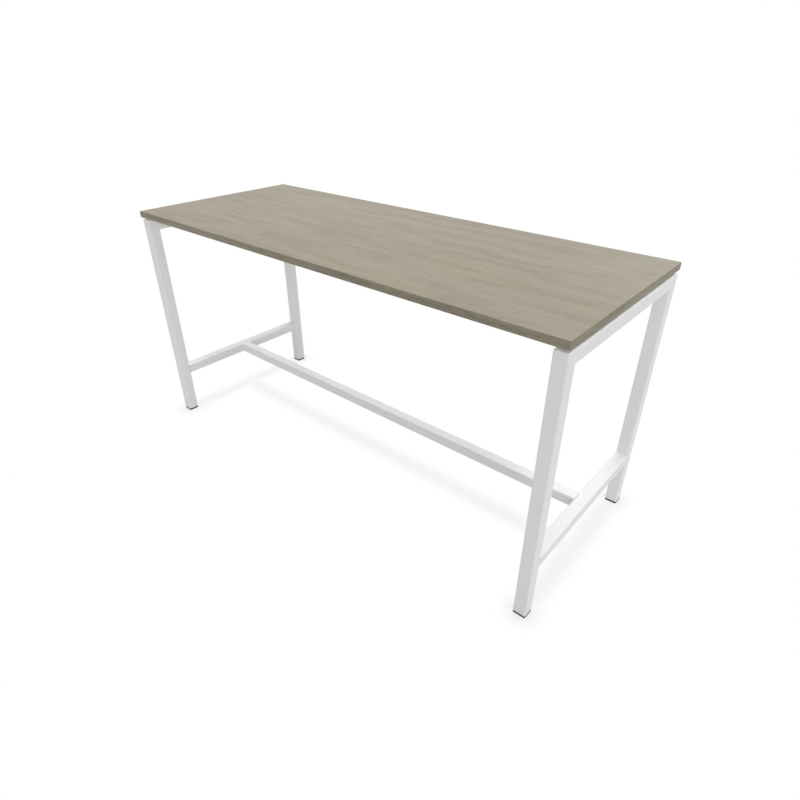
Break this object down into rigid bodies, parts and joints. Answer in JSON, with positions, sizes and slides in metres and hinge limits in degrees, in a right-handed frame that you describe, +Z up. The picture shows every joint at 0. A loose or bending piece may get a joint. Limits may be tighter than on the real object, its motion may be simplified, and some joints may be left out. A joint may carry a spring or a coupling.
{
  "type": "standing meeting table",
  "caption": "Tall rectangular meeting table: grey oak board held clear of two white square-tube end frames, joined low down by a central stretcher; screw-out levelling feet.",
  "frame": {"origin": "on the floor, under the middle of the board", "axes": "+X along the board to the right, +Y from the front to the back, +Z up"},
  "size_m": [2, 0.787, 0.995],
  "materials": {
    "board_oak": "matt melamine with a printed grey oak grain along the length",
    "edge_oak": "plastic edge band printed with the same oak",
    "white_steel": "fine matt powder coat",
    "spacer_plastic": "moulded",
    "black_plastic": "moulded, fine grain",
    "zinc_steel": "bright zinc plated"
  },
  "bodies": {
    "table": {"back_beam": "white_steel", "back_beam_left_plate": "white_steel", "back_beam_right_plate": "white_steel", "beam_bolts": "zinc_steel", "beam_bushes": "zinc_steel", "beam_to_top_screws": "zinc_steel", "beam_washers": "zinc_steel", "edge_band_back": "edge_oak", "edge_band_front": "edge_oak", "edge_band_left": "edge_oak", "edge_band_right": "edge_oak", "foot_bushes": "zinc_steel", "frame_to_top_screws": "zinc_steel", "front_beam": "white_steel", "front_beam_left_plate": "white_steel", "front_beam_right_plate": "white_steel", "left_back_foot_cap": "black_plastic", "left_back_leg": "white_steel", "left_cross_tube": "white_steel", "left_foot_rail": "white_steel", "left_front_foot_cap": "black_plastic", "left_front_leg": "white_steel", "left_stretcher_spigot": "white_steel", "right_back_foot_cap": "black_plastic", "right_back_leg": "white_steel", "right_cross_tube": "white_steel", "right_foot_rail": "white_steel", "right_front_foot_cap": "black_plastic", "right_front_leg": "white_steel", "right_stretcher_spigot": "white_steel", "stretcher": "white_steel", "stretcher_screws": "zinc_steel", "table_top": "board_oak", "top_inserts": "zinc_steel", "top_spacers": "spacer_plastic"},
    "left_front_pad": {"left_front_levelling_pad": "black_plastic"},
    "left_back_pad": {"left_back_levelling_pad": "black_plastic"},
    "right_front_pad": {"right_front_levelling_pad": "black_plastic"},
    "right_back_pad": {"right_back_levelling_pad": "black_plastic"},
    "left_front_stem": {"left_front_levelling_stem": "zinc_steel"},
    "left_back_stem": {"left_back_levelling_stem": "zinc_steel"},
    "right_front_stem": {"right_front_levelling_stem": "zinc_steel"},
    "right_back_stem": {"right_back_levelling_stem": "zinc_steel"}
  },
  "joints": [
    {"name": "left_front_foot_travel", "type": "slide", "parent": "table", "child": "left_front_pad", "axis": [0, 0, -1], "range_m": [0, 0.01]},
    {"name": "left_front_stem_turn", "type": "hinge", "parent": "left_front_pad", "child": "left_front_stem", "pos_m": [-0.9775, -0.365, 0], "axis": [0, 0, -1], "range_deg": [0, 2880]},
    {"name": "left_back_foot_travel", "type": "slide", "parent": "table", "child": "left_back_pad", "axis": [0, 0, -1], "range_m": [0, 0.01]},
    {"name": "left_back_stem_turn", "type": "hinge", "parent": "left_back_pad", "child": "left_back_stem", "pos_m": [-0.9775, 0.365, 0], "axis": [0, 0, -1], "range_deg": [0, 2880]},
    {"name": "right_front_foot_travel", "type": "slide", "parent": "table", "child": "right_front_pad", "axis": [0, 0, -1], "range_m": [0, 0.01]},
    {"name": "right_front_stem_turn", "type": "hinge", "parent": "right_front_pad", "child": "right_front_stem", "pos_m": [0.9775, -0.365, 0], "axis": [0, 0, -1], "range_deg": [0, 2880]},
    {"name": "right_back_foot_travel", "type": "slide", "parent": "table", "child": "right_back_pad", "axis": [0, 0, -1], "range_m": [0, 0.01]},
    {"name": "right_back_stem_turn", "type": "hinge", "parent": "right_back_pad", "child": "right_back_stem", "pos_m": [0.9775, 0.365, 0], "axis": [0, 0, -1], "range_deg": [0, 2880]}
  ],
  "couplings": [
    {"joint": "left_front_foot_travel", "follows": "left_front_stem_turn", "m_per_rad": 0.00019894},
    {"joint": "left_back_foot_travel", "follows": "left_back_stem_turn", "m_per_rad": 0.00019894},
    {"joint": "right_front_foot_travel", "follows": "right_front_stem_turn", "m_per_rad": 0.00019894},
    {"joint": "right_back_foot_travel", "follows": "right_back_stem_turn", "m_per_rad": 0.00019894}
  ]
}
